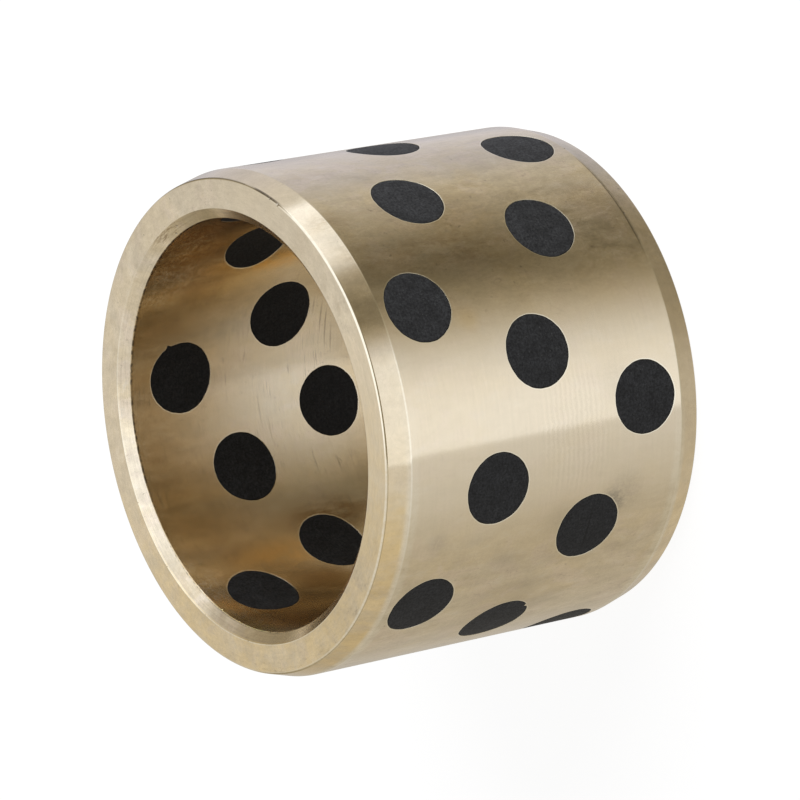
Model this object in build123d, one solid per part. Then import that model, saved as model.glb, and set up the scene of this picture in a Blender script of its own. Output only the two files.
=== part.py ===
"""Graphite plugged bushing: a turned bronze sleeve with staggered rows of graphite plugs through its wall.

The bush stands on one end face. +Z runs along its axis and the origin is the centre of the lower end face.
"""
from build123d import *
import os
from math import cos, pi, radians, sin, tan

# Sleeve, in millimetres and degrees
bore_diameter = 65.0
wall_thickness = 7.5
length = 60.0
lead_in_length = 4.0          # long shallow chamfer on the outside of each end, for pressing the bush in
lead_in_angle = 15.0          # between the lead-in and the bush axis
bore_chamfer_width = 1.8      # how much of each end face the bore's chamfer takes
bore_chamfer_depth = 1.5      # how far the bore's chamfer reaches down the bore

# Graphite plugs
plug_diameter = 11.5
bond_gap = 0.02               # resin film all round a plug, between it and its hole
end_land = 5.25               # bronze between an end face and the edge of the nearest holes
least_row_spacing = 9.0       # rows fill the length at no less than this from centre to centre
least_plug_spacing = 40.0     # plugs of one row fill the bore's circumference at no less than this
row_stagger = 0.4             # turn of each row from the row below, as a share of the angle between its plugs
first_plug_angle = -28.0      # place of the lowest row's first plug, from +X

# Sizes that follow
bore_radius = bore_diameter / 2
outer_radius = bore_radius + wall_thickness
lead_in_drop = lead_in_length * tan(radians(lead_in_angle))
hole_radius = plug_diameter / 2 + bond_gap
end_row_height = end_land + hole_radius
rows_height = length - 2 * end_row_height
row_gaps = max(int(rows_height / least_row_spacing), 0)
row_pitch = rows_height / max(row_gaps, 1)
plugs_in_row = max(int(2 * pi * bore_radius / least_plug_spacing), 1)
plug_angle_pitch = 360 / plugs_in_row


def sleeve_blank():
    """The turned sleeve before it is drilled, revolved from the section of its wall."""
    section = Polyline(
        (bore_radius + bore_chamfer_width, 0),
        (outer_radius - lead_in_drop, 0),
        (outer_radius, lead_in_length),
        (outer_radius, length - lead_in_length),
        (outer_radius - lead_in_drop, length),
        (bore_radius + bore_chamfer_width, length),
        (bore_radius, length - bore_chamfer_depth),
        (bore_radius, bore_chamfer_depth),
        close=True,
    )
    return revolve(Plane.XZ * make_face(section), Axis.Z)


def row_height(row):
    """Height of a row of plugs: the rows are spread evenly about the middle of the bush."""
    return length / 2 + (row - row_gaps / 2) * row_pitch


def plug_places():
    """Row number, number in the row, angle and height of every plug, each row turned from the one below."""
    places = []
    for row in range(row_gaps + 1):
        row_start = first_plug_angle - row * row_stagger * plug_angle_pitch
        for number in range(plugs_in_row):
            angle = row_start + number * plug_angle_pitch
            places.append((row, number, angle, row_height(row)))
    return places


def radial_bar(radius, angle, height):
    """A round bar from the bush axis out through one side of the wall."""
    outward = (cos(radians(angle)), sin(radians(angle)), 0)
    bar = Cylinder(radius, outer_radius + wall_thickness, align=(Align.CENTER, Align.CENTER, Align.MIN))
    return Plane(origin=(0, 0, height), z_dir=outward) * bar


def bronze_sleeve(blank):
    """The sleeve with a through hole for each plug."""
    holes = [radial_bar(hole_radius, angle, height) for row, number, angle, height in plug_places()]
    return blank - holes


def graphite_plug(blank, angle, height):
    """One plug, machined flush with the sleeve: its ends follow the outside and the bore."""
    return blank & radial_bar(plug_diameter / 2, angle, height)


os.makedirs("parts", exist_ok=True)
blank = sleeve_blank()
export_step(bronze_sleeve(blank), "parts/bronze_sleeve.step")
for row, number, angle, height in plug_places():
    plug = graphite_plug(blank, angle, height)
    export_step(plug, f"parts/graphite_plug_{row + 1}_{number + 1}.step")
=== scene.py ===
"""Graphite plugged bushing: a pale turned bronze sleeve with 25 flush graphite plugs, standing in a plain studio.

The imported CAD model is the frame. The sleeve is turned again here with broken edges, finer facets and lips round
its plug holes, and each plug gets its own mesh. Lengths are in millimetres until a mesh is made.
"""
from math import atan2, cos, degrees, hypot, pi, radians, sin, tan

import bpy
import numpy as np
from mathutils import Matrix, Vector


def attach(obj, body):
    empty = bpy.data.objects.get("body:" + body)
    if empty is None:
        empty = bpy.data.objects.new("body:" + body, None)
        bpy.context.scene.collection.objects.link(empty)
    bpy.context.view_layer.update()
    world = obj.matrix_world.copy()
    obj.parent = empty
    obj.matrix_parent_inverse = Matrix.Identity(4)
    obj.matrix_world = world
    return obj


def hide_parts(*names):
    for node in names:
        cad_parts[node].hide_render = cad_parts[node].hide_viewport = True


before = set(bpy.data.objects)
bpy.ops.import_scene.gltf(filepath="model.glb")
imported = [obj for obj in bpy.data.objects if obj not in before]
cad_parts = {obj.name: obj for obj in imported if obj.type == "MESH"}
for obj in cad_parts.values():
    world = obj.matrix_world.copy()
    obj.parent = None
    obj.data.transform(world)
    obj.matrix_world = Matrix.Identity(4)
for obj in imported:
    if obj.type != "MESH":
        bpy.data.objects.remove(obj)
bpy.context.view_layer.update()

MM = 0.001

# Sleeve and plugs, as the CAD has them, in millimetres and degrees
OUTER_RADIUS = 40.0
BORE_RADIUS = 32.5
LENGTH = 60.0
LEAD_IN_LENGTH = 4.0
LEAD_IN_ANGLE = 15.0
BORE_CHAMFER_WIDTH = 1.8
BORE_CHAMFER_DEPTH = 1.5
PLUG_RADIUS = 5.75
BOND_GAP = 0.02
END_LAND = 5.25
ROWS = 5
PLUGS_IN_ROW = 5
ROW_STAGGER = 0.4
FIRST_PLUG_ANGLE = -28.0

LEAD_IN_DROP = LEAD_IN_LENGTH * tan(radians(LEAD_IN_ANGLE))
HOLE_RADIUS = PLUG_RADIUS + BOND_GAP
LOWEST_ROW = END_LAND + HOLE_RADIUS
ROW_PITCH = (LENGTH - 2 * LOWEST_ROW) / (ROWS - 1)

# Edges broken by the turning tool, as radii in millimetres
LEAD_IN_EDGE = 1.4
FACE_EDGE = 0.5
FACE_INNER_EDGE = 0.35
BORE_EDGE = 0.3

# The lip of a plug hole: a burnished ring, and inside it the hole's own broken edge
RIM_WIDTH = 0.22
RIM_DROP = 0.012              # how far the ring dips towards the hole
RIM_EDGE = 0.05               # width of the broken edge
LIP_DEPTH = RIM_DROP + 1.6 * RIM_EDGE

# The bar that cuts a plug hole
TOOL_FLARE = 0.02             # wider than the ring, above the surface
TOOL_START = 0.002            # height at which the flare begins
TOOL_ABOVE = 0.6              # height of its wide end
TOOL_PAST = 1.5               # height of the bar's end points

SLEEVE_SEGMENTS = 480
HOLE_SEGMENTS = 144           # of a plug hole, and of the plug in it
PLUG_EDGE = 0.16              # radius of a plug's broken edge
PLUG_EDGE_FALL = 0.6          # depth of that edge as a share of its width
PLUG_EDGE_STEPS = 4
PLUG_SINK = 0.015             # how far a plug lies below the bronze
FLAW_DEPTH = 0.7              # how deep a flaw of a hole's outline reaches

# Waves of a plug hole's outline: height, number round the hole, share of the hole's own phase
OUTLINE_WAVES = [(0.014, 5, 1.0), (0.013, 11, 2.3), (0.011, 23, 3.7)]

# Flaws of the holes' outlines: node, side (1 outside, -1 bore), direction round the plug's axis from sideways to up,
# reach into the bronze (or, below 0, into the plug) and half width in degrees
HOLE_FLAWS = [
    ("graphite_plug_5_4", -1, 155, 0.6, 5.5),
    ("graphite_plug_5_4", -1, 143, 0.14, 8),
    ("graphite_plug_3_5", 1, -53, -0.5, 5),
    ("graphite_plug_1_2", 1, 40, 0.14, 7),
    ("graphite_plug_2_4", 1, 100, -0.16, 6),
    ("graphite_plug_4_2", -1, 250, 0.15, 8),
]

# Dents, each as angle, corner or place (radius, height), and the radius of the ball that made it
DENT_SINK = 0.16              # part of its radius that a ball goes in
NAMED_DENTS = [
    (-34.2, 38.93, 60.0, 0.75),
    (-31.0, 38.93, 60.0, 0.45),
    (27.2, 36.57, 60.0, 0.32),
    (11.2, 37.78, 60.0, 0.25),
    (13.0, 33.6, 59.42, 0.36),
    (16.0, 32.9, 58.83, 0.42),
    (149.0, 32.5, 58.5, 0.5),
    (141.0, 32.5, 58.5, 0.35),
    (-57.0, 40.0, 4.0, 0.5),
]
EDGE_DENTS = 34
GOLDEN_ANGLE = 137.508        # between one edge dent and the next
LEAST_EDGE_DENT = 0.18
EDGE_DENT_STEP = 0.035

# Limits that sort the cut sleeve's points and faces
ON_SECTION = 0.004            # from the turned section, for a point on it
DENT_MARGIN = 1.02            # share of a ball's radius, for a point on its dent
NEAR_PLUG = 30                # degrees from a plug, for a point of its hole
RIM_MARGIN = 0.01             # below the ring, for a point on it
BORE_MARGIN = 0.1             # from the bore's radius, for the middle of a bore face


# ---- shapes

def plug_places():
    """Node name, angle in degrees and height of each plug."""
    pitch = 360 / PLUGS_IN_ROW
    for row in range(ROWS):
        for number in range(PLUGS_IN_ROW):
            angle = FIRST_PLUG_ANGLE - row * ROW_STAGGER * pitch + number * pitch
            yield f"graphite_plug_{row + 1}_{number + 1}", angle, LOWEST_ROW + row * ROW_PITCH


def sleeve_corners():
    """Corners of the wall's section as (radius, height, edge radius), up the outside and down the bore."""
    face_outer = OUTER_RADIUS - LEAD_IN_DROP
    face_inner = BORE_RADIUS + BORE_CHAMFER_WIDTH
    upper = [
        (OUTER_RADIUS, LENGTH - LEAD_IN_LENGTH, LEAD_IN_EDGE),
        (face_outer, LENGTH, FACE_EDGE),
        (face_inner, LENGTH, FACE_INNER_EDGE),
        (BORE_RADIUS, LENGTH - BORE_CHAMFER_DEPTH, BORE_EDGE),
    ]
    lower = [(radius, LENGTH - height, edge) for radius, height, edge in reversed(upper)]
    return upper + lower


def rounded_profile(corners, arc_step=7.0, longest=2.6):
    """Points of a closed section with its corners rounded: radius, height, normal (r, z) and edge wear 0 to 1."""
    points = []
    count = len(corners)
    arcs = []
    for i, (r, z, edge) in enumerate(corners):
        here = Vector((r, z))
        back = (here - Vector(corners[i - 1][:2])).normalized()
        ahead = (Vector(corners[(i + 1) % count][:2]) - here).normalized()
        turn = atan2(back.x * ahead.y - back.y * ahead.x, back.dot(ahead))
        start = here - back * edge * tan(turn / 2)
        normal = Vector((back.y, -back.x))
        centre = start - normal * edge
        steps = max(int(degrees(turn) / arc_step), 3)
        arc = []
        for k in range(steps + 1):
            part = k / steps
            n = Matrix.Rotation(turn * part, 2) @ normal
            arc.append((*(centre + n * edge), n.x, n.y, sin(pi * part)))
        arcs.append(arc)
    for i, arc in enumerate(arcs):
        points += arc
        last, following = arc[-1], arcs[(i + 1) % count][0]
        gap = hypot(following[0] - last[0], following[1] - last[1])
        pieces = max(int(gap / longest), 2)
        for k in range(1, pieces):
            part = k / pieces
            points.append(tuple(a + (b - a) * part for a, b in zip(last, following)))
    return np.array(points)


def revolved_mesh(name, profile, segments):
    """A closed ring, its section turned about Z."""
    angles = np.arange(segments) * 2 * pi / segments
    r, z = profile[:, 0], profile[:, 1]
    xyz = np.stack([np.outer(np.cos(angles), r), np.outer(np.sin(angles), r), np.tile(z, (segments, 1))], -1)
    count = len(profile)
    a = np.arange(segments)[:, None] * count + np.arange(count)[None]
    b = np.roll(a, -1, axis=0)
    quads = np.stack([a, b, np.roll(b, -1, axis=1), np.roll(a, -1, axis=1)], -1).reshape(-1, 4)
    mesh = bpy.data.meshes.new(name)
    mesh.from_pydata((xyz.reshape(-1, 3) * MM).tolist(), [], quads.tolist())
    return mesh


def radial_to_world(along, across, up, angle, height):
    """From a plug's own frame (out along its axis, sideways, up) to the bush's."""
    c, s = cos(radians(angle)), sin(radians(angle))
    return np.stack([along * c - across * s, along * s + across * c, up + height], -1)


def lathe_of_rings(rings, segments):
    """Faces of a closed bar made of rings, each `segments` long, with a centre point before and after them."""
    faces = []
    first_ring = 1
    last_ring = 1 + (rings - 1) * segments
    end = 1 + rings * segments
    for k in range(segments):
        nxt = (k + 1) % segments
        faces.append((0, first_ring + nxt, first_ring + k))
        for ring in range(rings - 1):
            lower = first_ring + ring * segments
            faces.append((lower + k, lower + nxt, lower + segments + nxt, lower + segments + k))
        faces.append((end, last_ring + k, last_ring + nxt))
    return faces


def hole_outline(name, side):
    """How far a plug hole's edge strays from its circle, at each direction round the plug's axis."""
    turn = np.arange(HOLE_SEGMENTS) * 2 * pi / HOLE_SEGMENTS
    phase = float(sum(map(ord, name))) + side
    stray = sum(height * np.sin(count * turn + share * phase) for height, count, share in OUTLINE_WAVES)
    for flawed, flawed_side, direction, reach, half_width in HOLE_FLAWS:
        if (flawed, flawed_side) == (name, side):
            away = np.abs((np.degrees(turn) - direction + 180) % 360 - 180)
            stray += reach * np.clip(1 - away / half_width, 0, 1)
    return turn, stray


def bar_through_wall(name, angle, height, rows, past):
    """Points and faces of a bar with the same rings at both ends, and end points `past` the two surfaces.

    Each row is a ring, from an end inwards: radius, height above the surface, share of the outline's flaws.
    """
    rings = []
    for radius, side in ((BORE_RADIUS, -1), (OUTER_RADIUS, 1)):
        turn, stray = hole_outline(name, side)
        for reach, above, share in rows if side < 0 else reversed(rows):
            reach = reach + share * stray
            across, up = reach * np.cos(turn), reach * np.sin(turn)
            along = np.sqrt(radius**2 - across**2) + side * above
            rings.append(radial_to_world(along, across, up, angle, height))
    first, last = [radial_to_world(np.array([along]), np.zeros(1), np.zeros(1), angle, height)
                   for along in (BORE_RADIUS - past, OUTER_RADIUS + past)]
    return np.concatenate([first, *rings, last]), lathe_of_rings(len(rings), HOLE_SEGMENTS)


def hole_cutter(name, angle, height):
    """The bar that cuts one plug hole and breaks its two edges."""
    rows = [(HOLE_RADIUS + RIM_WIDTH + TOOL_FLARE, TOOL_ABOVE, 1), (HOLE_RADIUS + RIM_WIDTH, TOOL_START, 1),
            (HOLE_RADIUS + RIM_EDGE, -RIM_DROP, 1), (HOLE_RADIUS, -LIP_DEPTH, 1), (HOLE_RADIUS, -FLAW_DEPTH, 0)]
    return bar_through_wall(name, angle, height, rows, TOOL_PAST)


def dents(profile):
    """Centre and radius of each ball that dents the sleeve: the named ones, and small knocks along the edges."""
    places = list(NAMED_DENTS)
    edges = [corner[:2] for corner in sleeve_corners()]
    for k in range(EDGE_DENTS):
        radius, height = edges[(3 * k) % len(edges)]
        places.append((GOLDEN_ANGLE * k, radius, height, LEAST_EDGE_DENT + EDGE_DENT_STEP * (k * k % 7)))
    found = []
    for angle, radius, height, size in places:
        away, normals = nearest_on_profile(profile, np.array([radius]), np.array([height]))
        n_r, n_z = normals[0, :2]
        out = size * (1 - DENT_SINK) - away[0]
        r, z = radius + n_r * out, height + n_z * out
        found.append((np.array([r * cos(radians(angle)), r * sin(radians(angle)), z]), size))
    return found


def ball(centre, size, rings=9, segments=20):
    """Points and faces of a ball."""
    turn = np.arange(segments) * 2 * pi / segments
    layers = [np.array([[0, 0, -1.0]])]
    for k in range(1, rings + 1):
        polar = pi * k / (rings + 1)
        layers.append(np.stack([sin(polar) * np.cos(turn), sin(polar) * np.sin(turn), 0 * turn - cos(polar)], -1))
    layers.append(np.array([[0, 0, 1.0]]))
    return centre + size * np.concatenate(layers), lathe_of_rings(rings, segments)


def joined_mesh(name, parts):
    """One mesh of several closed shells given as (points, faces)."""
    points, faces, base = [], [], 0
    for xyz, shell in parts:
        points.append(xyz)
        faces += [tuple(base + i for i in face) for face in shell]
        base += len(xyz)
    mesh = bpy.data.meshes.new(name)
    mesh.from_pydata((np.concatenate(points) * MM).tolist(), [], faces)
    return mesh


def new_object(name, data):
    obj = bpy.data.objects.new(name, data)
    bpy.context.scene.collection.objects.link(obj)
    return obj


def cut(mesh, cutter_mesh, name):
    """The mesh less the cutter, as a new mesh."""
    body = new_object(name, mesh)
    tool = new_object(name + "_tool", cutter_mesh)
    boolean = body.modifiers.new("cut", "BOOLEAN")
    boolean.operation = "DIFFERENCE"
    boolean.solver = "MANIFOLD"
    boolean.object = tool
    result = bpy.data.meshes.new_from_object(body.evaluated_get(bpy.context.evaluated_depsgraph_get()))
    for obj in (body, tool):
        spare = obj.data
        bpy.data.objects.remove(obj)
        bpy.data.meshes.remove(spare)
    result.name = name
    result.materials.clear()
    return result


def nearest_on_profile(profile, r, z):
    """Distance to the section's outline, and the normal and edge wear there, for many (r, z) at once."""
    start, end = profile, np.roll(profile, -1, axis=0)
    step = end[:, :2] - start[:, :2]
    size = (step**2).sum(1)
    best = np.full(len(r), np.inf)
    found = np.zeros((len(r), 3))
    for a, b, d, s in zip(start, end, step, size):
        part = np.clip(((r - a[0]) * d[0] + (z - a[1]) * d[1]) / s, 0, 1)
        away = np.hypot(r - a[0] - part * d[0], z - a[1] - part * d[1])
        nearer = away < best
        best[nearer] = away[nearer]
        found[nearer] = (a[2:] + part[:, None] * (b[2:] - a[2:]))[nearer]
    return best, found


def away_from_dents(points, balls):
    """Whether each point is on a dent, and the direction from it to that dent's ball's centre."""
    inside = np.zeros(len(points), bool)
    inward = np.zeros((len(points), 3))
    for centre, size in balls:
        to_centre = centre - points
        reach = np.linalg.norm(to_centre, axis=1)
        near = reach < size * DENT_MARGIN
        inside |= near
        inward[near] = to_centre[near] / reach[near, None]
    return inside, inward


def away_from_plug_axis(points):
    """Unit vectors at right angles to the nearest plug's axis, from that axis to each point."""
    angle = np.degrees(np.arctan2(points[:, 1], points[:, 0]))
    best = np.full(len(points), np.inf)
    offset = np.zeros((len(points), 3))
    for _, plug_angle, height in plug_places():
        axis = np.array([cos(radians(plug_angle)), sin(radians(plug_angle)), 0.0])
        near = np.flatnonzero(np.abs((angle - plug_angle + 180) % 360 - 180) < NEAR_PLUG)
        away = points[near] - [0, 0, height]
        away -= np.outer(away @ axis, axis)
        size = np.linalg.norm(away, axis=1)
        closer = size < best[near]
        best[near[closer]] = size[closer]
        offset[near[closer]] = away[closer] / size[closer, None]
    return offset


def finish_sleeve_shading(mesh, profile, balls):
    """Gives the cut sleeve its exact normals, and face corner attributes for worn edges, hole rims and dents."""
    points = np.empty(len(mesh.vertices) * 3)
    mesh.vertices.foreach_get("co", points)
    points = points.reshape(-1, 3) / MM
    r = np.hypot(points[:, 0], points[:, 1])
    away, found = nearest_on_profile(profile, r, points[:, 2])
    turned = np.stack([found[:, 0] * points[:, 0] / r, found[:, 0] * points[:, 1] / r, found[:, 1]], -1)
    turned /= np.linalg.norm(turned, axis=1, keepdims=True)

    corner_vertex = np.empty(len(mesh.loops), dtype=np.int64)
    mesh.loops.foreach_get("vertex_index", corner_vertex)
    starts = np.empty(len(mesh.polygons), dtype=np.int64)
    totals = np.empty(len(mesh.polygons), dtype=np.int64)
    mesh.polygons.foreach_get("loop_start", starts)
    mesh.polygons.foreach_get("loop_total", totals)
    corner_face = np.repeat(np.arange(len(starts)), totals)
    face_away = np.maximum.reduceat(away[corner_vertex], starts)
    dented, inward = away_from_dents(points, balls)
    dented_face = (face_away > ON_SECTION) & np.logical_and.reduceat(dented[corner_vertex], starts)
    dented_corner = dented_face[corner_face]
    drilled = ((face_away > ON_SECTION) & ~dented_face)[corner_face]

    # A drilled face's normal turns from the hole's wall to the surface over the lip.
    offset = away_from_plug_axis(points)
    depth = np.minimum(OUTER_RADIUS - r, r - BORE_RADIUS)
    lean = np.radians(np.interp(depth, (ON_SECTION, RIM_DROP, LIP_DEPTH), (0, 5, 90)))[:, None]
    rim = -offset * np.sin(lean) + turned * np.cos(lean)

    normals = np.where(drilled[:, None], rim[corner_vertex], turned[corner_vertex])
    normals = np.where(dented_corner[:, None], inward[corner_vertex], normals)
    wear = np.where(drilled | dented_corner, 0.0, np.clip(found[:, 2], 0, 1)[corner_vertex])
    in_rim = drilled & (depth < RIM_DROP + RIM_MARGIN)[corner_vertex]
    for name, value in (("edge_wear", wear), ("hole_rim", in_rim), ("dent", dented_corner)):
        mesh.attributes.new(name, "FLOAT", "CORNER").data.foreach_set("value", value.astype(np.float32))
    mesh.shade_smooth()
    mesh.normals_split_custom_set(normals.tolist())

    # The bore has a finish of its own: material slot 1.
    face_radius = np.add.reduceat(r[corner_vertex], starts) / totals
    mesh.polygons.foreach_set("material_index", (face_radius < BORE_RADIUS + BORE_MARGIN).astype(np.int32))


def make_sleeve():
    """The sleeve: turned, then drilled, then dented."""
    profile = rounded_profile(sleeve_corners())
    blank = revolved_mesh("sleeve_blank", profile, SLEEVE_SEGMENTS)
    drilled = cut(blank, joined_mesh("hole_tools", [hole_cutter(*place) for place in plug_places()]), "sleeve")
    balls = dents(profile)
    mesh = cut(drilled, joined_mesh("dent_tools", [ball(*dent) for dent in balls]), "sleeve")
    finish_sleeve_shading(mesh, profile, balls)
    return new_object("sleeve", mesh)


def make_plug(node_name, angle, height, rings=12):
    """A plug flush with both surfaces: two crowned ends that follow the cylinders, and a straight side."""
    name = node_name.replace("graphite_", "")
    # Rings of one end, from its middle: radius, depth and share of the broken edge, which the graphite's colour
    # darkens as painted shade
    crown = [PLUG_RADIUS * k / rings for k in range(1, rings)]
    profile = [(reach, 0.0, 0.0) for reach in crown if reach < PLUG_RADIUS - 1.5 * PLUG_EDGE]
    for k in range(PLUG_EDGE_STEPS + 1):
        turn = pi / 2 * k / PLUG_EDGE_STEPS
        drop = PLUG_EDGE * (1 - cos(turn)) * PLUG_EDGE_FALL
        profile.append((PLUG_RADIUS - PLUG_EDGE + PLUG_EDGE * sin(turn), drop, k / PLUG_EDGE_STEPS))
    rows = [(reach, -drop - PLUG_SINK, (reach / PLUG_RADIUS) ** 4) for reach, drop, _ in profile]
    rows.append((PLUG_RADIUS, -FLAW_DEPTH - PLUG_SINK, 0.0))
    points, faces = bar_through_wall(node_name, angle, height, rows, -PLUG_SINK)
    mesh = joined_mesh(name, [(points, faces)])
    worn = [wear for _, _, wear in profile] + [1.0]
    wear = [0.0, *np.repeat(worn + worn[::-1], HOLE_SEGMENTS), 0.0]
    mesh.attributes.new("plug_edge", "FLOAT", "POINT").data.foreach_set("value", np.array(wear, np.float32))
    # The end in the bore takes the darker copy of the graphite, painted shade: material slot 1.
    r = np.hypot(points[:, 0], points[:, 1])
    middle = (BORE_RADIUS + OUTER_RADIUS) / 2
    mesh.polygons.foreach_set("material_index", [int(np.mean(r[list(face)]) < middle) for face in faces])
    mesh.shade_smooth()
    return new_object(name, mesh)


# ---- shading helpers

class Tree:
    """A node tree where an argument that is a socket is linked, and a number or colour is set."""

    def __init__(self, owner):
        owner.use_nodes = True
        self.tree = owner.node_tree
        self.tree.nodes.clear()

    def node(self, kind, **settings):
        made = self.tree.nodes.new("ShaderNode" + kind)
        for key, value in settings.items():
            setattr(made, key, value)
        return made

    def put(self, socket, value):
        if isinstance(value, bpy.types.NodeSocket):
            self.tree.links.new(value, socket)
        elif value is not None:
            socket.default_value = (*value, 1.0) if socket.type == "RGBA" and len(value) == 3 else value

    def fill(self, sockets, values):
        for socket, value in zip(sockets, values):
            self.put(socket, value)

    def surface(self, output, shader):
        self.put(self.node(output).inputs["Surface"], shader.outputs[0])

    def math(self, operation, *values):
        made = self.node("Math", operation=operation)
        self.fill(made.inputs, values)
        return made.outputs[0]

    def chained(self, operation, values):
        """The values joined two by two, from the first on."""
        total = values[0]
        for value in values[1:]:
            total = self.math(operation, total, value)
        return total

    def times(self, *values):
        return self.chained("MULTIPLY", values)

    def plus(self, *values):
        return self.chained("ADD", values)

    def most(self, *values):
        return self.chained("MAXIMUM", values)

    def minus(self, a, b):
        return self.math("SUBTRACT", a, b)

    def inverse(self, value):
        """1 less the value."""
        return self.minus(1.0, value)

    def times_plus(self, a, b, c):
        """a times b, plus c."""
        return self.math("MULTIPLY_ADD", a, b, c)

    def weighted(self, pairs, total=0.0):
        """The total, plus each value times its share."""
        for value, share in pairs:
            total = self.times_plus(value, share, total)
        return total

    def step(self, value, start, end, low=0.0, high=1.0):
        """Low before start, high after end, smooth between."""
        made = self.node("MapRange", interpolation_type="SMOOTHSTEP")
        self.fill(made.inputs, (value, start, end, low, high))
        return made.outputs[0]

    def between(self, value, rise, fall):
        """1 from rise[1] to fall[0], 0 before rise[0] and after fall[1]."""
        return self.times(self.step(value, *rise), self.step(value, *fall, 1.0, 0.0))

    def mix(self, factor, a, b):
        made = self.node("Mix", data_type="FLOAT")
        self.fill((made.inputs[0], made.inputs[2], made.inputs[3]), (factor, a, b))
        return made.outputs[0]

    def blend(self, factor, a, b, kind="MIX"):
        made = self.node("Mix", data_type="RGBA", blend_type=kind)
        self.fill((made.inputs[0], made.inputs[6], made.inputs[7]), (factor, a, b))
        return made.outputs[2]

    def grey(self, colour, value):
        """The colour times a number."""
        return self.blend(1.0, colour, self.combine(value, value, value), "MULTIPLY")

    def noise(self, vector, scale, detail, roughness, distortion=0.0):
        made = self.node("TexNoise")
        for name, value in (("Vector", vector), ("Scale", scale), ("Detail", detail),
                            ("Roughness", roughness), ("Distortion", distortion)):
            self.put(made.inputs[name], value)
        return made.outputs["Fac"]

    def drawn(self, parts, scales, detail, roughness, distortion=0.0):
        """A noise with a scale of its own along each direction: the smaller the scale, the longer its shapes."""
        vector = self.combine(*[self.times(part, scale) for part, scale in zip(parts, scales)])
        return self.noise(vector, 1.0, detail, roughness, distortion)

    def combine(self, x, y, z):
        made = self.node("CombineXYZ")
        self.fill(made.inputs, (x, y, z))
        return made.outputs[0]

    def split(self, vector):
        made = self.node("SeparateXYZ")
        self.put(made.inputs[0], vector)
        return made.outputs

    def bump(self, height, distance, strength=1.0, under=None):
        """Raises a height of 0 to 1 by a distance in millimetres."""
        made = self.node("Bump")
        self.put(made.inputs["Strength"], strength)
        self.put(made.inputs["Distance"], distance * MM)
        self.put(made.inputs["Height"], height)
        self.put(made.inputs["Normal"], under)
        return made.outputs[0]

    def hairlines(self, noise, width):
        """Thin winding lines where a noise crosses its middle."""
        return self.step(self.math("ABSOLUTE", self.minus(noise, 0.5)), width, 0.3 * width)


class BushTree(Tree):
    """A material's tree with the bush's coordinates, in millimetres."""

    def __init__(self, material):
        super().__init__(material)
        scaled = self.node("VectorMath", operation="SCALE")
        self.put(scaled.inputs[0], self.node("TexCoord").outputs["Object"])
        self.put(scaled.inputs["Scale"], 1 / MM)
        self.place = scaled.outputs[0]
        self.x, self.y, self.z = self.xyz = tuple(self.split(self.place))
        self.r = self.math("SQRT", self.plus(self.times(self.x, self.x), self.times(self.y, self.y)))

    def bearing_from(self, centre):
        """Angle round the bush, in degrees from a centre that is one too."""
        c, s = cos(radians(centre)), sin(radians(centre))
        ahead = self.plus(self.times(self.x, c), self.times(self.y, s))
        aside = self.minus(self.times(self.y, c), self.times(self.x, s))
        return self.math("DEGREES", self.math("ARCTAN2", aside, ahead))

    def arc(self, centre, start, end, low=0.0, high=1.0):
        """A step by how many degrees round the bush a point is from a centre, to either side."""
        return self.step(self.math("ABSOLUTE", self.bearing_from(centre)), start, end, low, high)

    def patch(self, angle, height, half_angle, half_height, core):
        """1 in the middle of an oval patch of the wall, up to a share `core` of its size, and 0 outside it."""
        across = self.math("DIVIDE", self.bearing_from(angle), half_angle)
        up = self.math("DIVIDE", self.minus(self.z, height), half_height)
        far = self.math("SQRT", self.plus(self.times(across, across), self.times(up, up)))
        return self.step(far, 1.0, core)

    def patches(self, rows, total=0.0):
        """The total, plus each row's patch times the share that ends the row."""
        return self.weighted([(self.patch(*place), share) for *place, share in rows], total)

    def attribute(self, name):
        return self.node("Attribute", attribute_name=name).outputs["Fac"]


class SleeveTree(BushTree):
    """The sleeve's tree, with the noises that most of its marks share."""

    def __init__(self, material):
        super().__init__(material)
        self.rim = self.attribute("hole_rim")
        self.from_middle = self.math("ABSOLUTE", self.minus(self.z, LENGTH / 2))
        self.wide = self.drawn(self.xyz, (0.10, 0.10, 0.07), 5, 0.6, 0.5)
        self.cloud = self.drawn(self.xyz, (0.42, 0.42, 0.22), 6, 0.66, 0.3)
        self.other = self.drawn((self.y, self.z, self.x), (0.24, 0.15, 0.24), 5, 0.65, 0.4)

    def patina(self, strength):
        """The bronze with soft patches of yellow, pale and grey."""
        colour = self.blend(self.times(self.step(self.wide, 0.42, 0.60), strength), BRONZE, YELLOWED)
        colour = self.blend(self.times(self.step(self.other, 0.48, 0.62), strength), colour, PALE)
        return self.blend(self.times(self.step(self.cloud, 0.54, 0.70, 0.0, 0.7), strength), colour, GREYED)

    def dashes(self, high):
        """Breaks a line along an edge into uneven dashes."""
        return self.step(self.noise(self.place, 1.2, 3, 0.7), 0.44, 0.56, 0.2, high)

    def metal(self, colour, roughness, anisotropy, normal):
        """Polished round the bush axis, the way that the tool went."""
        shader = self.node("BsdfPrincipled")
        for name, value in (("Base Color", colour), ("Metallic", 1.0), ("Roughness", roughness),
                            ("Anisotropic", anisotropy), ("Anisotropic Rotation", 0.25), ("Normal", normal),
                            ("Tangent", self.node("Tangent", direction_type="RADIAL", axis="Z").outputs[0])):
            self.put(shader.inputs[name], value)
        self.surface("OutputMaterial", shader)


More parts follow.
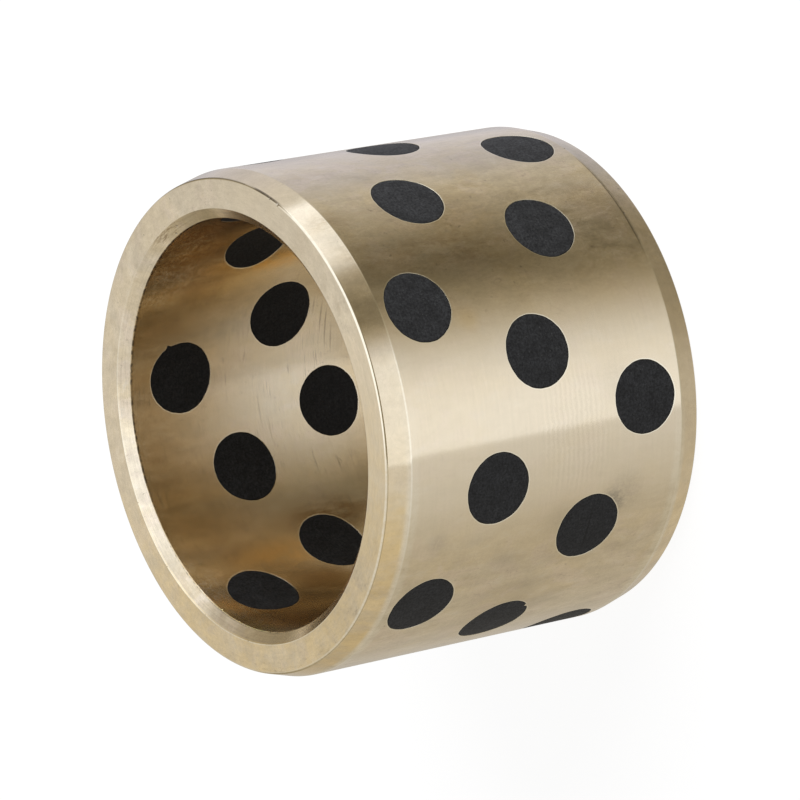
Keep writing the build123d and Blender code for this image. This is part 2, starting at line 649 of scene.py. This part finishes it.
class TurnedTree(SleeveTree):
    """The tree of the sleeve's turned surfaces, with their regions."""

    def __init__(self, material):
        super().__init__(material)
        self.edge, self.dent = self.attribute("edge_wear"), self.attribute("dent")
        self.clean_band = self.patch(-98, 30, 40, 90, 0.5)
        self.ends = self.step(self.from_middle, 25.6, 26.4)         # lead-ins, faces and bore chamfers
        self.on_face = self.step(self.from_middle, 29.7, 29.9)
        self.on_lead_in = self.times(self.ends, self.inverse(self.on_face))
        self.bright_lead_in = self.times(self.ends, self.patch(-38, 60, 34, 8, 0.5))
        self.bore_chamfer = self.step(self.r, 34.2, 34.0)
        self.fine = self.drawn(self.xyz, (1.9, 1.9, 1.2), 4, 0.72)
        self.mottle = self.drawn((self.z, self.y, self.x), (0.5, 1.1, 1.1), 5, 0.75)
        self.broken = self.step(self.cloud, 0.35, 0.6, 0.3, 1.0)


# ---- colours, and places of the marks

BRONZE = (0.84, 0.735, 0.54)
YELLOWED = (0.83, 0.705, 0.48)
PALE = (0.86, 0.737, 0.56)
GREYED = (0.80, 0.725, 0.575)
STAINED = (0.58, 0.455, 0.28)
BROWNED = (0.40, 0.30, 0.17)
# Grime, and the colour of painted shade along the face's outer edge and round the bore's mouth
GRIME_AND_SHADE = (0.13, 0.10, 0.07)
OCHRE = (0.82, 0.64, 0.34)
SMUDGED = (0.43, 0.385, 0.30)
CLEAN_AND_HIGHLIGHT = (0.94, 0.875, 0.69)
BORE_BRONZE = (0.735, 0.565, 0.31)
BORE_FILM = (0.46, 0.31, 0.15)
BORE_RED = (0.36, 0.20, 0.085)
BORE_GOLD = (0.84, 0.51, 0.15)
GRAPHITE = (0.006, 0.0062, 0.0066)
GRAPHITE_GRAIN = (0.032, 0.033, 0.035)
GRAPHITE_GLINT = (0.11, 0.11, 0.105)
GRAPHITE_EDGE_SHADE = (0.004, 0.003, 0.002)
GRAPHITE_SCRATCH = (0.002, 0.002, 0.002)

# Marks, placed after the photograph. Each is an oval patch: angle, height, half angle, half height, core, share
LEAD_IN_YELLOW = [(-15, 58, 26, 6, 0.4, 0.6), (-95, 58, 16, 6, 0.5, 0.5)]
BROWN_STAINS = [
    (-58, 43, 12, 17, 0.1, 0.50), (-53, 8, 13, 9, 0.1, 0.62), (-28, 24, 13, 10, 0.1, 0.12),
    (-10, 46, 9, 7, 0.1, 0.22), (-150, 34, 16, 10, 0.1, 0.22), (-50, 34, 13, 12, 0.1, 0.45),
    (-131, 25, 17, 13, 0.1, 0.13), (-46, 56, 7, 6, 0.1, 0.50), (-57, 55, 10, 6, 0.1, 0.28),
    (-20, 36, 13, 11, 0.1, 0.20), (-61, 31, 8, 11, 0.1, 0.45), (-58, 48, 11, 16, 0.1, 0.12),
    (-46, 49, 8, 9, 0.1, 0.13), (-51, 15, 8, 7, 0.1, 0.13), (-58, 3, 7, 5, 0.1, 0.18),
]
SMUDGES = [
    (-123.5, 16.5, 6, 4, 0.2, 1.3), (-122, 14.5, 9, 6, 0.05, 0.55), (-125, 50, 4, 3, 0.1, 0.5),
    (-146, 28, 8, 6, 0.1, 0.35), (-125, 26, 6, 5, 0.1, 0.35), (-151, 23, 6, 5, 0.1, 0.4),
    (-134, 36, 5, 4, 0.1, 0.35), (-95, 16, 8, 5, 0.1, 0.28),
]
GREASE_FILM = [
    (121, 27, 9, 14, 0.1, 0.90), (49, 15, 13, 11, 0.1, 1.00), (36, 48, 19, 11, 0.1, 0.80),
    (146, 37, 13, 10, 0.1, 0.75), (33, 7, 9, 9, 0.1, 0.60), (160, 58, 30, 7, 0.3, -0.90),
    (17, 59, 12, 4, 0.3, -0.80), (127, 56, 15, 7, 0.1, -0.45),
]
RED_GREASE = [
    (18, 54, 26, 14, 0.1, 1.0), (150, 54, 16, 6, 0.1, 0.35), (50, 14, 11, 10, 0.1, 0.9),
    (160, 51, 18, 11, 0.1, 0.25),
]
GOLD_STREAKS = [(38, 36, 6, 16, 0.1, 0.95), (131, 40, 9, 16, 0.1, 0.6), (30, 50, 14, 9, 0.1, 0.3)]
PIN_SCRATCHES = [
    (62, 21.7, 7, 0.26, 0.1, 0.34), (66, 20.6, 9, 0.26, 0.1, 0.30), (69, 19.4, 6, 0.26, 0.1, 0.26),
    (58, 23.4, 4, 0.26, 0.1, 0.22), (86, 34.3, 8, 0.26, 0.1, 0.14), (92, 32.9, 6, 0.26, 0.1, 0.12),
    (104, 26.0, 5, 0.26, 0.1, 0.16), (118, 22.5, 4, 0.26, 0.1, 0.24),
]
# Darker patches in the bore: painted shade.
BORE_SHADES = [
    (51, 13, 13, 11, 0.1, 0.22), (124, 25, 6, 5, 0.1, 0.2), (24, 51, 8, 7, 0.1, 0.15),
    (33, 7, 9, 10, 0.1, 0.15), (68, 12, 18, 10, 0.1, 0.10),
]
PLUG_SCRATCH = (-129.6, 20.33, 10, 0.28, 0.2)     # without a share
CHATTER_PITCH = 0.95                              # millimetres from ripple to ripple


# ---- materials

def stained_rubbed_and_painted_light(t, colour):
    """Ochre and yellow stains on the ends, the faces and lead-ins painted lighter or darker round the bush as
    highlight and shade, and a rubbed band beside the lead-in.
    """
    around = t.mix(t.on_face, t.arc(-148, 60, 18), t.arc(-176, 120, 30))
    stain = t.times(t.ends, t.inverse(t.bore_chamfer), around, t.step(t.wide, 0.2, 0.6, 0.5, 1.0),
                    t.step(t.z, 20, 40, 0.4, 1.0))
    share = t.mix(t.on_face, t.step(t.r, 39.98, 39.7), 0.85)
    colour = t.blend(t.times(stain, share, t.step(t.cloud, 0.35, 0.6, 0.6, 1.0)), colour, OCHRE)
    colour = t.blend(t.times(t.on_lead_in, t.patches(LEAD_IN_YELLOW)), colour, YELLOWED)
    # Painted highlight and shade: the faces lighter towards two bearings and darker towards a third, and the lead-ins
    # lighter towards one.
    face_painted_light = t.plus(t.arc(-83, 40, 0), t.arc(90, 70, 20, 0.0, 0.7), t.arc(-142, 34, 8, 0.0, -0.55))
    lead_in_painted_highlight = t.arc(-133, 28, 8, 0.0, 0.8)
    ends_painted_light = t.plus(t.times(t.on_face, face_painted_light), t.times(t.on_lead_in, lead_in_painted_highlight))
    colour = t.grey(colour, t.times_plus(ends_painted_light, 0.11, 1.0))
    band = t.times(t.between(t.from_middle, (24.1, 25.3), (26.4, 27.2)), t.arc(-145, 45, 25, 0.12, 1.0),
                   t.step(t.cloud, 0.35, 0.55, 0.4, 1.0))
    return t.blend(t.times(band, 0.5), colour, CLEAN_AND_HIGHLIGHT)


def dirt_and_shade(t):
    """How dirty the metal is, least where the light sweeps over the front and most above it, and its shade."""
    handled = t.times(t.patch(-58, 36, 24, 46, 0.5), t.step(t.wide, 0.3, 0.6, 0.4, 1.0))
    dirt = t.times_plus(handled, 0.8, t.mix(t.clean_band, 1.0, 0.2))
    dirt = t.times(dirt, t.mix(t.bright_lead_in, 1.0, 0.4))
    streaks = t.drawn((t.z, t.x, t.y), (0.07, 0.30, 0.30), 4, 0.6)
    shade = t.weighted(((t.cloud, 0.46), (t.fine, 0.28), (t.mottle, 0.14), (streaks, 0.34), (t.wide, 0.16)), -0.70)
    specks = t.times(t.step(t.noise(t.place, 1.1, 3, 0.6), 0.64, 0.74), t.step(t.other, 0.42, 0.55))
    winding = t.drawn((t.y, t.z, t.x), (0.16, 0.10, 0.16), 1, 0.4, 1.5)
    hair = t.times(t.hairlines(winding, 0.006), t.step(t.other, 0.5, 0.58))
    return dirt, t.weighted(((specks, -0.2), (hair, -0.08)), shade)


def stained_brown(t, colour):
    """Brown stains on the wall and in the bore's chamfer, and grey smudges."""
    brown = t.times(t.patches(BROWN_STAINS), t.broken, t.step(t.mottle, 0.3, 0.6, 0.5, 1.1))
    scribble = t.times(t.between(t.r, (33.0, 33.3), (34.2, 34.4)), t.patch(19, 60, 11, 3, 0.2),
                       t.step(t.drawn((t.x, t.y, t.r), (0.55, 0.55, 4.5), 4, 0.8), 0.48, 0.56))
    foot = t.times(t.bore_chamfer, t.arc(150, 42, 15), t.broken)
    colour = t.blend(t.weighted(((scribble, 0.7), (foot, 0.45)), brown), colour, BROWNED)
    smudge = t.most(0.0, *[t.times(t.patch(*place), share) for *place, share in SMUDGES])
    return t.blend(t.times(smudge, t.step(t.fine, 0.35, 0.6, 0.4, 1.0), 0.7), colour, SMUDGED)


def dark_lines_and_painted_shade(t, colour):
    """Dark lines and spots: a line at the lower lead-in's corner, dots along the bore's edge, painted shade along the
    face's outer edge and round the bore's mouth, and darker dents. The line round the bore's mouth comes back with the
    colour.
    """
    corner = t.times(t.between(t.z, (3.75, 3.9), (4.2, 4.45)), t.patch(-52, 4, 17, 30, 0.55))
    # Painted shade: a dark line along the face's outer edge, heavier by the notch.
    face = t.times(t.between(t.r, (38.84, 38.88), (38.99, 39.04)), t.patch(2, 60, 42, 30, 0.75), 0.9)
    notch_shade = t.times(t.between(t.r, (38.82, 38.88), (39.02, 39.08)), t.patch(-29, 60, 8, 30, 0.3), 1.25)
    bore_edge_dots = t.times(t.between(t.r, (32.4, 32.45), (32.62, 32.8)), t.arc(150, 40, 25), t.step(t.fine, 0.45, 0.6))
    # Painted shade: a dark line round the bore's mouth.
    mouth_shade = t.times(t.between(t.r, (32.3, 32.4), (32.58, 32.68)), t.patch(62, 60, 60, 5, 0.6), t.dashes(1.0))
    dark_line_and_shade_mask = t.times(t.most(corner, face, notch_shade, bore_edge_dots, mouth_shade), t.step(t.cloud, 0.3, 0.5, 0.3, 1.0))
    colour = t.blend(t.times(dark_line_and_shade_mask, 0.75), colour, GRIME_AND_SHADE)
    return t.blend(t.times(t.dent, 0.4), colour, GRIME_AND_SHADE), mouth_shade


def turning_marks(t, value):
    """Turning marks round the bush, scuffed ends, and ripples where the tool chattered."""
    lay = t.plus(t.z, t.r)
    marks = t.drawn((t.x, t.y, lay), (0.09, 0.09, 2.6), 4, 0.65)
    value = t.times(value, t.step(marks, 0.3, 0.7, 0.985, 1.01))
    on_chamfer = t.step(t.drawn((t.x, t.y, t.r), (0.12, 0.12, 5.0), 4, 0.7), 0.3, 0.7, 0.92, 1.06)
    value = t.times(value, t.mix(t.bore_chamfer, 1.0, on_chamfer))
    scuffs = t.drawn((t.x, t.y, t.r), (0.5, 0.5, 1.8), 5, 0.75)
    value = t.times(value, t.mix(t.ends, 1.0, t.step(scuffs, 0.3, 0.7, 0.95, 1.05)))
    knocks = t.times(t.step(scuffs, 0.44, 0.36), t.on_face, t.step(t.r, 36.3, 38.2), t.arc(-162, 50, 25))
    value = t.times_plus(knocks, -0.16, value)
    along = t.bearing_from(-118)
    slant = t.times_plus(along, t.step(along, 14, -14, 0.0, 0.10), lay)
    wander = t.times_plus(t.fine, 4.0, t.times(t.cloud, 9.0))
    wave = t.math("SINE", t.times_plus(slant, 2 * pi / CHATTER_PITCH, wander))
    chattered = t.most(t.patch(-104, 24.5, 19, 9, 0.4), t.times(t.step(t.other, 0.55, 0.66), 0.25))
    ripples = t.times(wave, chattered)
    return t.times_plus(ripples, 0.030, value), marks, ripples


def turned_bronze():
    """The outside, the lead-ins and the faces: fine turning marks under years of handling, with some highlight and
    shade painted in.
    """
    material = bpy.data.materials.new("turned_bronze")
    t = TurnedTree(material)
    strength = t.times(t.mix(t.clean_band, 0.8, 0.3), t.mix(t.bright_lead_in, 1.0, 0.3), t.mix(t.on_face, 1.0, 0.7))
    colour = stained_rubbed_and_painted_light(t, t.patina(strength))
    dirt, shade = dirt_and_shade(t)
    blots = t.drawn((t.z, t.x, t.y), (0.10, 0.24, 0.24), 5, 0.66, 0.3)
    blots = t.times(t.step(blots, 0.55, 0.68), t.step(t.fine, 0.35, 0.6, 0.4, 1.0))
    colour = t.blend(t.times(blots, dirt, 0.25), colour, STAINED)
    colour, painted_mouth_shade = dark_lines_and_painted_shade(t, stained_brown(t, colour))
    colour = t.blend(t.times(t.patch(-76, 41, 4, 3, 0.1), 0.4), colour, OCHRE)
    value, marks, ripples = turning_marks(t, t.times_plus(shade, dirt, 1.0))
    colour = t.grey(colour, value)
    # Paler broken edges: edge wear, and in part a painted highlight.
    worn = t.times(t.edge, t.inverse(painted_mouth_shade), t.arc(10, 42, 56, 0.25, 1.0), t.step(t.mottle, 0.3, 0.6, 0.25, 0.75))
    colour = t.blend(worn, colour, CLEAN_AND_HIGHLIGHT)
    colour = t.blend(t.times(t.rim, 0.85), colour, CLEAN_AND_HIGHLIGHT)

    roughness = t.times_plus(t.other, 0.05, 0.125)
    roughness = t.times_plus(t.times(t.patch(-58, 8, 26, 16, 0.3), t.broken), 0.10, roughness)
    roughness = t.mix(t.step(t.edge, 0.0, 0.3), roughness, 0.09)
    unevenness = t.times(dirt, t.mix(t.ends, 1.0, 0.15))
    relief = t.bump(t.times(t.minus(t.cloud, 0.5), unevenness), 0.0045)
    relief = t.bump(t.times(t.minus(t.fine, 0.5), unevenness), 0.0012, under=relief)
    relief = t.bump(marks, 0.0004, under=relief)
    relief = t.bump(ripples, 0.0013, under=relief)
    t.metal(colour, roughness, 0.95, relief)
    return material


def greased(t, colour):
    """A brown film that thickens towards the mouths, with red and golden places in it."""
    streaky = t.drawn(t.xyz, (0.42, 0.42, 0.09), 5, 0.65, 0.4)
    golden = t.grey(BORE_BRONZE, t.times_plus(t.plus(t.wide, t.cloud), 0.35, 0.65))
    aside = t.arc(88, 22, 42)
    share = t.most(t.step(t.from_middle, 0, 27), t.times(aside, t.step(t.from_middle, -12, 16)))
    colour = t.blend(t.times(share, t.step(streaky, 0.3, 0.6, 0.85, 1.0)), colour, golden)
    upper = t.step(t.bearing_from(75), -18, -75)
    lower = t.step(t.bearing_from(100), 30, 80)
    film = t.times(t.step(t.from_middle, 8, 28), t.weighted(((upper, 1.1), (lower, 0.22)), 0.28))
    film = t.times(t.patches(GREASE_FILM, film), t.step(streaky, 0.3, 0.6, 0.35, 1.25))
    colour = t.blend(film, colour, BORE_FILM)
    colour = t.blend(t.times(t.patches(RED_GREASE), t.step(t.cloud, 0.35, 0.6, 0.3, 0.8)), colour, BORE_RED)
    for *place, share in GOLD_STREAKS:
        gold = t.times(t.patch(*place), t.step(t.cloud, 0.3, 0.6, 0.4, 1.0), share)
        colour = t.blend(gold, colour, BORE_GOLD)
    return colour


def bored_value(t):
    """Brightness of the bore: fine scratches, dark spots and strokes, patches of painted shade, and a painted
    highlight on two places at the mouth.
    """
    scratches = t.drawn(t.xyz, (0.22, 0.22, 7.0), 3, 0.6)
    value = t.times(t.step(scratches, 0.25, 0.75, 0.955, 1.035), t.times_plus(t.cloud, 0.3, 0.85))
    spots = t.step(t.noise(t.place, 1.2, 2, 0.6), 0.66, 0.75)
    strokes = t.drawn(t.xyz, (0.3, 0.3, 3.6), 2, 0.5, 0.3)
    strokes = t.times(t.step(strokes, 0.60, 0.70), t.step(t.other, 0.46, 0.56))
    dark = t.patches(PIN_SCRATCHES + BORE_SHADES, t.times_plus(strokes, 0.22, t.times(spots, 0.2)))
    # Painted highlight: two places at the mouth painted brighter than the bronze.
    painted_mouth_highlight = t.most(t.times(t.patch(159, 58, 26, 6, 0.3), 1.4), t.patch(13, 59, 14, 5, 0.3))
    return t.times_plus(painted_mouth_highlight, 0.45, t.minus(value, dark))


def worn_at_mouth(t):
    """Pale grains and curls where the pin has worn the bore's mouths."""
    worn = t.most(t.times(t.step(t.from_middle, 25.0, 28.0), 0.3), t.times(t.patch(25, 56, 42, 12, 0.2), 0.7),
                  t.times(t.patch(155, 58, 36, 8, 0.3), 1.2))
    grains = t.step(t.drawn(t.xyz, (0.9, 0.9, 1.7), 5, 0.75), 0.52, 0.60)
    winding = t.drawn(t.xyz, (0.42, 0.42, 0.6), 2, 0.6, 1.6)
    curls = t.times(t.hairlines(winding, 0.06), t.step(t.cloud, 0.40, 0.52), 1.6)
    return t.times(worn, t.most(grains, curls))


def bored_bronze():
    """The bore: smooth, golden and browned by old grease at the mouths, and scratched by the pin, with painted shade
    in patches and a painted highlight at the mouth.
    """
    material = bpy.data.materials.new("bored_bronze")
    t = SleeveTree(material)
    colour = t.grey(greased(t, t.patina(0.6)), bored_value(t))
    colour = t.blend(t.times(worn_at_mouth(t), 0.42), colour, CLEAN_AND_HIGHLIGHT)
    # Painted shade: a dark line round the bore's mouth, just inside it.
    painted_mouth_shade = t.times(t.step(t.from_middle, 28.15, 28.35), t.patch(38, 60, 86, 5, 0.75), t.dashes(0.85))
    colour = t.blend(painted_mouth_shade, colour, GRIME_AND_SHADE)
    greasy_rim = t.patch(8, 50, 14, 9, 0.7)
    colour = t.blend(t.times(t.rim, t.inverse(greasy_rim)), colour, BRONZE)
    colour = t.blend(t.times(t.rim, greasy_rim, 0.9), colour, GRIME_AND_SHADE)
    t.metal(colour, t.times_plus(t.cloud, 0.05, 0.235), 0.93, t.bump(t.cloud, 0.008))
    return material


def plug_graphite(name, painted_light_level, specular, scratch=None):
    """Pressed graphite: dark, with fine pale grains and smears, and painted darker as shade at its broken edge, where
    it rolls into the joint.
    """
    material = bpy.data.materials.new(name)
    t = BushTree(material)
    grain = t.noise(t.place, 2.6, 5, 0.78)
    smear = t.drawn(t.xyz, (0.5, 0.5, 0.35), 3, 0.6)
    glint = t.step(t.noise(t.place, 4.2, 2, 0.6), 0.63, 0.73)
    lines = t.drawn(t.xyz, (0.35, 0.35, 3.2), 3, 0.6)
    colour = t.blend(t.step(grain, 0.32, 0.68), GRAPHITE, GRAPHITE_GRAIN)
    colour = t.grey(colour, t.step(smear, 0.3, 0.7, 0.7, 1.3))
    colour = t.blend(t.times(glint, 0.45), colour, GRAPHITE_GLINT)
    # Painted light: each copy's level, lighter for the outer ends and darker, as painted shade, for the ends in the
    # bore.
    colour = t.grey(colour, t.times(t.step(lines, 0.3, 0.7, 0.85, 1.15), painted_light_level))
    # Painted shade: the broken edge darker where it rolls into the joint.
    colour = t.blend(t.attribute("plug_edge"), colour, GRAPHITE_EDGE_SHADE)
    if scratch:
        colour = t.blend(t.times(t.patch(*scratch), 0.8), colour, GRAPHITE_SCRATCH)
    shader = t.node("BsdfPrincipled")
    roughness = t.most(t.step(grain, 0.3, 0.7, 0.78, 0.62), t.patch(1, 49, 14, 9, 0.6))
    for socket, value in (("Base Color", colour), ("Roughness", roughness), ("Specular IOR Level", specular),
                          ("Normal", t.bump(grain, 0.03, 0.8))):
        t.put(shader.inputs[socket], value)
    t.surface("OutputMaterial", shader)
    return material


# ---- studio

OVERHEAD_BEARING = 70         # middle of the light overhead
OVERHEAD_HEIGHT = 64
SWEEP_EDGE = (-27.9, -27.3)   # bearings of the hard left edge that the front's light has
PAPER_GREY = (0.34, 0.34, 0.34)
FLOOR_SIZE = 3.0              # metres from its middle to each side


def seen_directly(t, path):
    """1 for a ray from the camera, a reflection or a refraction, 0 for the light that falls on a surface."""
    return t.most(*[path.outputs[f"Is {kind} Ray"] for kind in ("Camera", "Glossy", "Transmission")])


def table_level(t, bearing, height):
    """The table below the horizon, lit from the front and the right. Pairs are for low down and high up."""
    lifted = t.step(height, -32, -12)

    def toned(level, start, end, tone):
        return t.mix(t.step(bearing, start, end), level, tone)

    level = toned(t.mix(lifted, 0.455, 0.53), -87, -14, t.mix(lifted, 0.79, 0.83))  # glow on the left
    level = toned(level, *SWEEP_EDGE, t.mix(lifted, 1.07, 1.15))  # front sweep
    level = toned(level, t.mix(lifted, -14, 9), t.mix(lifted, 55, 35), t.mix(lifted, 0.145, 0.19))  # its soft end
    level = t.mix(t.times(lifted, t.step(bearing, 38, 62)), level, 0.52)  # beside the side light
    level = toned(level, 56, 112, t.mix(lifted, 0.52, 0.76))  # right side
    for start, end, tone in ((105, 152, 0.70), (-118, -172, 0.52), (146, 178, 0.52)):  # and round to the back
        level = toned(level, start, end, tone)
    foot = toned(toned(0.50, -40, 60, 0.235), 70, 125, 0.42)
    return t.mix(t.step(height, -37, -54), level, foot)  # at the bush's foot


def room_level(t, bearing, height, table):
    """The table's level below the horizon and the room's above it, dim low down and behind."""
    aside = t.math("ABSOLUTE", bearing)
    room = t.mix(t.step(height, 4, 40), t.step(aside, 150, 160, 0.27, 0.60), 0.68)
    room = t.mix(t.step(height, 40, 75), room, 0.80)
    horizon = t.mix(t.step(aside, 120, 150), t.step(height, 0, 6), t.step(height, -28, -10))
    return t.mix(horizon, table, room)


def lit_level(t, direction, bearing, height, level):
    """The room's lights: a dark flag over the sweep, a side light and a round light overhead."""
    front = t.times(t.step(bearing, *SWEEP_EDGE), t.step(bearing, 50, 66, 1.0, 0.0))
    level = t.mix(t.times(front, t.between(height, (2, 6), (46, 56))), level, 0.23)
    side_light = t.times(t.between(bearing, (54, 66), (93.5, 102)), t.between(height, (-24, -15), (40, 55)))
    level = t.mix(side_light, level, t.step(bearing, 62, 88, 1.04, 1.37))
    b, h = radians(OVERHEAD_BEARING), radians(OVERHEAD_HEIGHT)
    towards = t.node("VectorMath", operation="DOT_PRODUCT")
    t.put(towards.inputs[0], direction)
    t.put(towards.inputs[1], Vector((sin(b) * cos(h), -cos(b) * cos(h), sin(h))))
    away = t.math("DEGREES", t.math("ARCCOSINE", towards.outputs["Value"]))
    return t.mix(t.step(away, 31, 44, 1.0, 0.0), level, 1.21)


def make_world():
    """A white studio. Metal shows it too, with its lights: bearings are degrees from the front, heights degrees up."""
    world = bpy.data.worlds.new("studio")
    bpy.context.scene.world = world
    t = Tree(world)
    direction = t.node("TexCoord").outputs["Generated"]
    x, y, z = t.split(direction)
    bearing = t.math("DEGREES", t.math("ARCTAN2", x, t.times(y, -1.0)))
    height = t.math("DEGREES", t.math("ARCSINE", z))
    level = room_level(t, bearing, height, table_level(t, bearing, height))
    level = lit_level(t, direction, bearing, height, level)

    # A dim direction is one lit by the bush's own bronze, so it is warmer. The right side is a little cooler.
    tint = t.blend(t.step(level, 0.1, 0.85), (1.16, 1.0, 0.71), (1.0, 1.0, 1.045))
    tint = t.blend(t.step(level, 0.9, 1.2), tint, (0.965, 1.0, 1.11))
    cool = t.times(t.between(bearing, (100, 125), (160, 178)), t.step(height, -8, -20))
    tint = t.blend(cool, tint, (1.01, 1.0, 1.12))

    path = t.node("LightPath")
    seen = t.blend(path.outputs["Is Camera Ray"], t.grey(tint, level), (1.0, 1.0, 1.0))
    background = t.node("Background")
    t.put(background.inputs["Color"], t.blend(seen_directly(t, path), PAPER_GREY, seen))
    t.surface("OutputWorld", background)


def make_floor():
    """White paper that keeps the bush's shadow. Metal sees the studio's own table below the horizon instead."""
    mesh = bpy.data.meshes.new("floor")
    corners = [(x * FLOOR_SIZE, y * FLOOR_SIZE, 0) for x, y in ((-1, -1), (1, -1), (1, 1), (-1, 1))]
    mesh.from_pydata(corners, [], [(0, 1, 2, 3)])
    floor = new_object("floor", mesh)
    material = bpy.data.materials.new("floor_white")
    t = Tree(material)
    diffuse = t.node("BsdfDiffuse")
    t.put(diffuse.inputs["Color"], (0.2, 0.2, 0.2))
    glow = t.node("Emission")
    t.put(glow.inputs["Color"], (1.0, 1.0, 1.0))
    t.put(glow.inputs["Strength"], t.times(seen_directly(t, t.node("LightPath")), 0.90))
    both = t.node("AddShader")
    t.put(both.inputs[0], diffuse.outputs[0])
    t.put(both.inputs[1], glow.outputs[0])
    t.surface("OutputMaterial", both)
    mesh.materials.append(material)
    floor.visible_glossy = False


def make_lamp(name, place, aim, size, power):
    """A round lamp that lights the bush and can't be seen, not even in the metal."""
    light = bpy.data.lights.new(name, "AREA")
    light.shape = "DISK"
    light.size = size
    light.energy = power
    lamp = new_object(name, light)
    lamp.location = place
    lamp.rotation_euler = (Vector(aim) - Vector(place)).to_track_quat("-Z", "Y").to_euler()
    lamp.visible_glossy = False
    lamp.visible_camera = False


# ---- camera

CAMERA_DISTANCE = 861.9
CAMERA_ELEVATION = 34.737
CAMERA_ROLL = -100.63
CAMERA_FOCUS = 5444.0         # focal length in pixels of an 800 pixel frame
FRAME_SIZE = 800
SENSOR = 36.0
OFF_CENTRE = (5.25, 2.12)     # pixels that the bush's middle lies left of and above the frame's centre


def make_camera():
    """The photograph's camera: above the front, rolled, and aimed a little off the bush's middle."""
    target = Vector((0, 0, LENGTH / 2))
    elevation = radians(CAMERA_ELEVATION)
    back = Vector((0, -cos(elevation), sin(elevation)))
    place = target + back * CAMERA_DISTANCE
    right = Vector((1, 0, 0))
    down = -back.cross(right)
    roll = radians(CAMERA_ROLL)
    image_right = right * cos(roll) - down * sin(roll)
    image_down = right * sin(roll) + down * cos(roll)
    pixel = CAMERA_DISTANCE / CAMERA_FOCUS
    aim = target + (image_right * OFF_CENTRE[0] + image_down * OFF_CENTRE[1]) * pixel
    z_axis = (place - aim).normalized()
    x_axis = (image_right - z_axis * image_right.dot(z_axis)).normalized()
    y_axis = z_axis.cross(x_axis)
    data = bpy.data.cameras.new("camera")
    data.sensor_width = SENSOR
    data.lens = CAMERA_FOCUS / FRAME_SIZE * SENSOR
    camera = new_object("camera", data)
    camera.matrix_world = Matrix.Translation(place * MM) @ Matrix((x_axis, y_axis, z_axis)).transposed().to_4x4()
    bpy.context.scene.camera = camera


# ---- the scene

bpy.context.scene.view_settings.view_transform = "Standard"
make_camera()
make_world()
make_floor()
make_lamp("side_softbox", (0.9, -0.3, 0.7), (0, 0, 0.03), 1.3, 11.5)

# Lit and shaded copies of one graphite: the outer ends painted lighter, the ends in the bore painted darker as shade.
graphite = plug_graphite("plug_graphite", 1.4, 0.42, PLUG_SCRATCH)
graphite_bore_shaded = plug_graphite("plug_graphite_bore", 0.6, 0.3)

sleeve = make_sleeve()
sleeve.data.materials.append(turned_bronze())
sleeve.data.materials.append(bored_bronze())
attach(sleeve, "root")
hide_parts("bronze_sleeve")

for node_name, plug_angle, plug_height in plug_places():
    plug = make_plug(node_name, plug_angle, plug_height)
    plug.data.materials.append(graphite)
    plug.data.materials.append(graphite_bore_shaded)
    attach(plug, "root")
    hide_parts(node_name)
